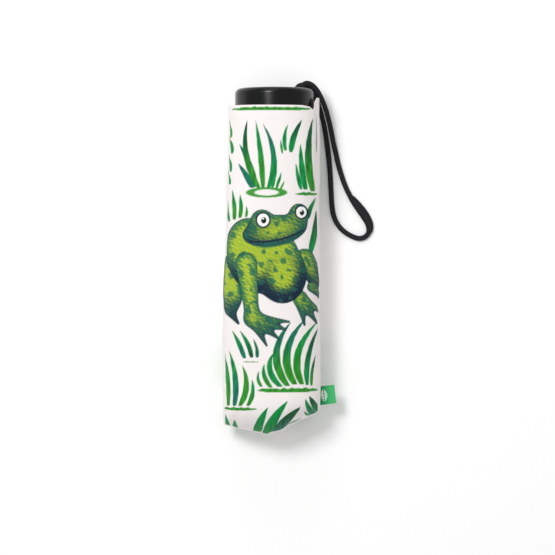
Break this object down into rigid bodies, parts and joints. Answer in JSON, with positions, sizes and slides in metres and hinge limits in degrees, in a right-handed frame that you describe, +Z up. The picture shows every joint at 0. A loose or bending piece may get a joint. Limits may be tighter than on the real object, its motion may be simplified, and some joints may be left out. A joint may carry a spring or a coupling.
{
  "type": "folding umbrella",
  "caption": "Child's three-fold pocket umbrella, closed in its printed fabric sleeve, with a round handle cap and a braided wrist loop.",
  "frame": {"origin": "on the surface the umbrella lies on, straight under the shaft's axis, midway along the closed umbrella", "axes": "+Y along the shaft towards the handle, +X to the side the wrist loop lies on, +Z up from the surface"},
  "size_m": [0.0958, 0.2264, 0.054],
  "materials": {
    "plated_steel": "bright nickel plating on drawn steel tube",
    "spring_steel": "bright spring wire",
    "pressed_rib": "zinc-plated pressed steel",
    "black_nylon": "moulded nylon, satin",
    "black_abs": "moulded ABS, soft gloss",
    "printed_pongee": "printed polyester pongee with green blades",
    "sleeve_cloth": "printed polyester pongee with green blades and a frog",
    "braided_cord": "braided polyester cord",
    "woven_tag": "woven green label, no lettering"
  },
  "bodies": {
    "root": {"top_tube": "plated_steel", "crown": "black_nylon", "crown_wire": "spring_steel", "ferrule": "black_abs", "canopy": "printed_pongee", "tie_strap": "printed_pongee"},
    "middle_tube": {"middle_tube": "plated_steel", "middle_tube_catch": "spring_steel"},
    "handle": {"lower_tube": "plated_steel", "lower_tube_catch": "spring_steel", "handle_cap": "black_abs", "handle_core": "black_abs", "handle_pin": "spring_steel", "loop_anchor": "black_nylon", "wrist_loop": "braided_cord"},
    "runner": {"runner": "black_nylon", "latch_pin": "spring_steel", "latch_spring": "spring_steel"},
    "runner_latch": {"runner_catch": "black_nylon"},
    "sleeve": {"sleeve": "sleeve_cloth", "sleeve_hem": "sleeve_cloth", "sleeve_tag": "woven_tag"},
    "top_rib_1": {"top_rib_1": "pressed_rib"},
    "stretcher_1": {"stretcher_1": "pressed_rib"},
    "mid_rib_1": {"mid_rib_1": "pressed_rib"},
    "tip_rib_1": {"tip_rib_1": "pressed_rib"},
    "inner_rod_1": {"inner_rod_1": "spring_steel"},
    "outer_rod_1": {"outer_rod_1": "spring_steel"},
    "top_rib_2": {"top_rib_2": "pressed_rib"},
    "stretcher_2": {"stretcher_2": "pressed_rib"},
    "mid_rib_2": {"mid_rib_2": "pressed_rib"},
    "tip_rib_2": {"tip_rib_2": "pressed_rib"},
    "inner_rod_2": {"inner_rod_2": "spring_steel"},
    "outer_rod_2": {"outer_rod_2": "spring_steel"},
    "top_rib_3": {"top_rib_3": "pressed_rib"},
    "stretcher_3": {"stretcher_3": "pressed_rib"},
    "mid_rib_3": {"mid_rib_3": "pressed_rib"},
    "tip_rib_3": {"tip_rib_3": "pressed_rib"},
    "inner_rod_3": {"inner_rod_3": "spring_steel"},
    "outer_rod_3": {"outer_rod_3": "spring_steel"},
    "top_rib_4": {"top_rib_4": "pressed_rib"},
    "stretcher_4": {"stretcher_4": "pressed_rib"},
    "mid_rib_4": {"mid_rib_4": "pressed_rib"},
    "tip_rib_4": {"tip_rib_4": "pressed_rib"},
    "inner_rod_4": {"inner_rod_4": "spring_steel"},
    "outer_rod_4": {"outer_rod_4": "spring_steel"},
    "top_rib_5": {"top_rib_5": "pressed_rib"},
    "stretcher_5": {"stretcher_5": "pressed_rib"},
    "mid_rib_5": {"mid_rib_5": "pressed_rib"},
    "tip_rib_5": {"tip_rib_5": "pressed_rib"},
    "inner_rod_5": {"inner_rod_5": "spring_steel"},
    "outer_rod_5": {"outer_rod_5": "spring_steel"},
    "top_rib_6": {"top_rib_6": "pressed_rib"},
    "stretcher_6": {"stretcher_6": "pressed_rib"},
    "mid_rib_6": {"mid_rib_6": "pressed_rib"},
    "tip_rib_6": {"tip_rib_6": "pressed_rib"},
    "inner_rod_6": {"inner_rod_6": "spring_steel"},
    "outer_rod_6": {"outer_rod_6": "spring_steel"}
  },
  "joints": [
    {"name": "handle_pull", "type": "slide", "parent": "middle_tube", "child": "handle", "axis": [0, 1, 0], "range_m": [0, 0.137]},
    {"name": "middle_tube_slide", "type": "slide", "parent": "root", "child": "middle_tube", "axis": [0, 1, 0], "range_m": [0, 0.137]},
    {"name": "runner_slide", "type": "slide", "parent": "root", "child": "runner", "axis": [0, -1, 0], "range_m": [0, 0.0965]},
    {"name": "latch_press", "type": "hinge", "parent": "runner", "child": "runner_latch", "pos_m": [0, 0.081, 0.0359], "axis": [1, 0, 0], "range_deg": [0, 5], "stiffness_Nm_per_rad": 0.02, "deforming": ["latch_spring"]},
    {"name": "sleeve_pull", "type": "slide", "parent": "root", "child": "sleeve", "axis": [0, -1, 0], "range_m": [0, 0.24], "deforming": ["sleeve", "sleeve_hem", "canopy", "tie_strap"]},
    {"name": "top_rib_1_swing", "type": "hinge", "parent": "root", "child": "top_rib_1", "pos_m": [0.008, -0.092, 0.027], "axis": [0, 0, -1], "range_deg": [0, 81.01]},
    {"name": "stretcher_1_swing", "type": "hinge", "parent": "top_rib_1", "child": "stretcher_1", "pos_m": [0.01075, -0.022, 0.027], "axis": [0, 0, -1], "range_deg": [-133.59, 0]},
    {"name": "mid_rib_1_fold", "type": "hinge", "parent": "top_rib_1", "child": "mid_rib_1", "pos_m": [0.01375, 0.074, 0.027], "axis": [0, 0, -1], "range_deg": [-195.01, 0]},
    {"name": "tip_rib_1_fold", "type": "hinge", "parent": "mid_rib_1", "child": "tip_rib_1", "pos_m": [0.0166, -0.09, 0.027], "axis": [0, 0, -1], "range_deg": [0, 165.01]},
    {"name": "inner_rod_1_turn", "type": "hinge", "parent": "stretcher_1", "child": "inner_rod_1", "pos_m": [0.01065, -0.017, 0.027], "axis": [0, 0, -1], "range_deg": [0, 136.35]},
    {"name": "outer_rod_1_turn", "type": "hinge", "parent": "top_rib_1", "child": "outer_rod_1", "pos_m": [0.01375, 0.078, 0.027], "axis": [0, 0, -1], "range_deg": [-195.01, 0]},
    {"name": "top_rib_2_swing", "type": "hinge", "parent": "root", "child": "top_rib_2", "pos_m": [0.004, -0.092, 0.03393], "axis": [0.866, 0, -0.5], "range_deg": [0, 81.01]},
    {"name": "stretcher_2_swing", "type": "hinge", "parent": "top_rib_2", "child": "stretcher_2", "pos_m": [0.00537, -0.022, 0.03631], "axis": [0.866, 0, -0.5], "range_deg": [-133.59, 0]},
    {"name": "mid_rib_2_fold", "type": "hinge", "parent": "top_rib_2", "child": "mid_rib_2", "pos_m": [0.00688, 0.074, 0.03891], "axis": [0.866, 0, -0.5], "range_deg": [-195.01, 0]},
    {"name": "tip_rib_2_fold", "type": "hinge", "parent": "mid_rib_2", "child": "tip_rib_2", "pos_m": [0.0083, -0.09, 0.04138], "axis": [0.866, 0, -0.5], "range_deg": [0, 165.01]},
    {"name": "inner_rod_2_turn", "type": "hinge", "parent": "stretcher_2", "child": "inner_rod_2", "pos_m": [0.00532, -0.017, 0.03622], "axis": [0.866, 0, -0.5], "range_deg": [0, 136.35]},
    {"name": "outer_rod_2_turn", "type": "hinge", "parent": "top_rib_2", "child": "outer_rod_2", "pos_m": [0.00688, 0.078, 0.03891], "axis": [0.866, 0, -0.5], "range_deg": [-195.01, 0]},
    {"name": "top_rib_3_swing", "type": "hinge", "parent": "root", "child": "top_rib_3", "pos_m": [-0.004, -0.092, 0.03393], "axis": [0.866, 0, 0.5], "range_deg": [0, 81.01]},
    {"name": "stretcher_3_swing", "type": "hinge", "parent": "top_rib_3", "child": "stretcher_3", "pos_m": [-0.00537, -0.022, 0.03631], "axis": [0.866, 0, 0.5], "range_deg": [-133.59, 0]},
    {"name": "mid_rib_3_fold", "type": "hinge", "parent": "top_rib_3", "child": "mid_rib_3", "pos_m": [-0.00688, 0.074, 0.03891], "axis": [0.866, 0, 0.5], "range_deg": [-195.01, 0]},
    {"name": "tip_rib_3_fold", "type": "hinge", "parent": "mid_rib_3", "child": "tip_rib_3", "pos_m": [-0.0083, -0.09, 0.04138], "axis": [0.866, 0, 0.5], "range_deg": [0, 165.01]},
    {"name": "inner_rod_3_turn", "type": "hinge", "parent": "stretcher_3", "child": "inner_rod_3", "pos_m": [-0.00532, -0.017, 0.03622], "axis": [0.866, 0, 0.5], "range_deg": [0, 136.35]},
    {"name": "outer_rod_3_turn", "type": "hinge", "parent": "top_rib_3", "child": "outer_rod_3", "pos_m": [-0.00688, 0.078, 0.03891], "axis": [0.866, 0, 0.5], "range_deg": [-195.01, 0]},
    {"name": "top_rib_4_swing", "type": "hinge", "parent": "root", "child": "top_rib_4", "pos_m": [-0.008, -0.092, 0.027], "axis": [0, 0, 1], "range_deg": [0, 81.01]},
    {"name": "stretcher_4_swing", "type": "hinge", "parent": "top_rib_4", "child": "stretcher_4", "pos_m": [-0.01075, -0.022, 0.027], "axis": [0, 0, 1], "range_deg": [-133.59, 0]},
    {"name": "mid_rib_4_fold", "type": "hinge", "parent": "top_rib_4", "child": "mid_rib_4", "pos_m": [-0.01375, 0.074, 0.027], "axis": [0, 0, 1], "range_deg": [-195.01, 0]},
    {"name": "tip_rib_4_fold", "type": "hinge", "parent": "mid_rib_4", "child": "tip_rib_4", "pos_m": [-0.0166, -0.09, 0.027], "axis": [0, 0, 1], "range_deg": [0, 165.01]},
    {"name": "inner_rod_4_turn", "type": "hinge", "parent": "stretcher_4", "child": "inner_rod_4", "pos_m": [-0.01065, -0.017, 0.027], "axis": [0, 0, 1], "range_deg": [0, 136.35]},
    {"name": "outer_rod_4_turn", "type": "hinge", "parent": "top_rib_4", "child": "outer_rod_4", "pos_m": [-0.01375, 0.078, 0.027], "axis": [0, 0, 1], "range_deg": [-195.01, 0]},
    {"name": "top_rib_5_swing", "type": "hinge", "parent": "root", "child": "top_rib_5", "pos_m": [-0.004, -0.092, 0.02007], "axis": [-0.866, 0, 0.5], "range_deg": [0, 81.01]},
    {"name": "stretcher_5_swing", "type": "hinge", "parent": "top_rib_5", "child": "stretcher_5", "pos_m": [-0.00537, -0.022, 0.01769], "axis": [-0.866, 0, 0.5], "range_deg": [-133.59, 0]},
    {"name": "mid_rib_5_fold", "type": "hinge", "parent": "top_rib_5", "child": "mid_rib_5", "pos_m": [-0.00688, 0.074, 0.01509], "axis": [-0.866, 0, 0.5], "range_deg": [-195.01, 0]},
    {"name": "tip_rib_5_fold", "type": "hinge", "parent": "mid_rib_5", "child": "tip_rib_5", "pos_m": [-0.0083, -0.09, 0.01262], "axis": [-0.866, 0, 0.5], "range_deg": [0, 165.01]},
    {"name": "inner_rod_5_turn", "type": "hinge", "parent": "stretcher_5", "child": "inner_rod_5", "pos_m": [-0.00532, -0.017, 0.01778], "axis": [-0.866, 0, 0.5], "range_deg": [0, 136.35]},
    {"name": "outer_rod_5_turn", "type": "hinge", "parent": "top_rib_5", "child": "outer_rod_5", "pos_m": [-0.00688, 0.078, 0.01509], "axis": [-0.866, 0, 0.5], "range_deg": [-195.01, 0]},
    {"name": "top_rib_6_swing", "type": "hinge", "parent": "root", "child": "top_rib_6", "pos_m": [0.004, -0.092, 0.02007], "axis": [-0.866, 0, -0.5], "range_deg": [0, 81.01]},
    {"name": "stretcher_6_swing", "type": "hinge", "parent": "top_rib_6", "child": "stretcher_6", "pos_m": [0.00537, -0.022, 0.01769], "axis": [-0.866, 0, -0.5], "range_deg": [-133.59, 0]},
    {"name": "mid_rib_6_fold", "type": "hinge", "parent": "top_rib_6", "child": "mid_rib_6", "pos_m": [0.00688, 0.074, 0.01509], "axis": [-0.866, 0, -0.5], "range_deg": [-195.01, 0]},
    {"name": "tip_rib_6_fold", "type": "hinge", "parent": "mid_rib_6", "child": "tip_rib_6", "pos_m": [0.0083, -0.09, 0.01262], "axis": [-0.866, 0, -0.5], "range_deg": [0, 165.01]},
    {"name": "inner_rod_6_turn", "type": "hinge", "parent": "stretcher_6", "child": "inner_rod_6", "pos_m": [0.00532, -0.017, 0.01778], "axis": [-0.866, 0, -0.5], "range_deg": [0, 136.35]},
    {"name": "outer_rod_6_turn", "type": "hinge", "parent": "top_rib_6", "child": "outer_rod_6", "pos_m": [0.00688, 0.078, 0.01509], "axis": [-0.866, 0, -0.5], "range_deg": [-195.01, 0]}
  ],
  "couplings": [
    {"joint": "middle_tube_slide", "follows": "handle_pull", "ratio": 1},
    {"joint": "sleeve_pull", "follows": "runner_slide", "ratio": 2.487},
    {"joint": "top_rib_1_swing", "follows": "runner_slide", "rad_per_m": 14.65},
    {"joint": "stretcher_1_swing", "follows": "runner_slide", "rad_per_m": -24.159},
    {"joint": "mid_rib_1_fold", "follows": "runner_slide", "rad_per_m": -35.268},
    {"joint": "tip_rib_1_fold", "follows": "runner_slide", "rad_per_m": 29.842},
    {"joint": "inner_rod_1_turn", "follows": "runner_slide", "rad_per_m": 24.659},
    {"joint": "outer_rod_1_turn", "follows": "runner_slide", "rad_per_m": -35.268},
    {"joint": "top_rib_2_swing", "follows": "runner_slide", "rad_per_m": 14.65},
    {"joint": "stretcher_2_swing", "follows": "runner_slide", "rad_per_m": -24.159},
    {"joint": "mid_rib_2_fold", "follows": "runner_slide", "rad_per_m": -35.268},
    {"joint": "tip_rib_2_fold", "follows": "runner_slide", "rad_per_m": 29.842},
    {"joint": "inner_rod_2_turn", "follows": "runner_slide", "rad_per_m": 24.659},
    {"joint": "outer_rod_2_turn", "follows": "runner_slide", "rad_per_m": -35.268},
    {"joint": "top_rib_3_swing", "follows": "runner_slide", "rad_per_m": 14.65},
    {"joint": "stretcher_3_swing", "follows": "runner_slide", "rad_per_m": -24.159},
    {"joint": "mid_rib_3_fold", "follows": "runner_slide", "rad_per_m": -35.268},
    {"joint": "tip_rib_3_fold", "follows": "runner_slide", "rad_per_m": 29.842},
    {"joint": "inner_rod_3_turn", "follows": "runner_slide", "rad_per_m": 24.659},
    {"joint": "outer_rod_3_turn", "follows": "runner_slide", "rad_per_m": -35.268},
    {"joint": "top_rib_4_swing", "follows": "runner_slide", "rad_per_m": 14.65},
    {"joint": "stretcher_4_swing", "follows": "runner_slide", "rad_per_m": -24.159},
    {"joint": "mid_rib_4_fold", "follows": "runner_slide", "rad_per_m": -35.268},
    {"joint": "tip_rib_4_fold", "follows": "runner_slide", "rad_per_m": 29.842},
    {"joint": "inner_rod_4_turn", "follows": "runner_slide", "rad_per_m": 24.659},
    {"joint": "outer_rod_4_turn", "follows": "runner_slide", "rad_per_m": -35.268},
    {"joint": "top_rib_5_swing", "follows": "runner_slide", "rad_per_m": 14.65},
    {"joint": "stretcher_5_swing", "follows": "runner_slide", "rad_per_m": -24.159},
    {"joint": "mid_rib_5_fold", "follows": "runner_slide", "rad_per_m": -35.268},
    {"joint": "tip_rib_5_fold", "follows": "runner_slide", "rad_per_m": 29.842},
    {"joint": "inner_rod_5_turn", "follows": "runner_slide", "rad_per_m": 24.659},
    {"joint": "outer_rod_5_turn", "follows": "runner_slide", "rad_per_m": -35.268},
    {"joint": "top_rib_6_swing", "follows": "runner_slide", "rad_per_m": 14.65},
    {"joint": "stretcher_6_swing", "follows": "runner_slide", "rad_per_m": -24.159},
    {"joint": "mid_rib_6_fold", "follows": "runner_slide", "rad_per_m": -35.268},
    {"joint": "tip_rib_6_fold", "follows": "runner_slide", "rad_per_m": 29.842},
    {"joint": "inner_rod_6_turn", "follows": "runner_slide", "rad_per_m": 24.659},
    {"joint": "outer_rod_6_turn", "follows": "runner_slide", "rad_per_m": -35.268}
  ]
}
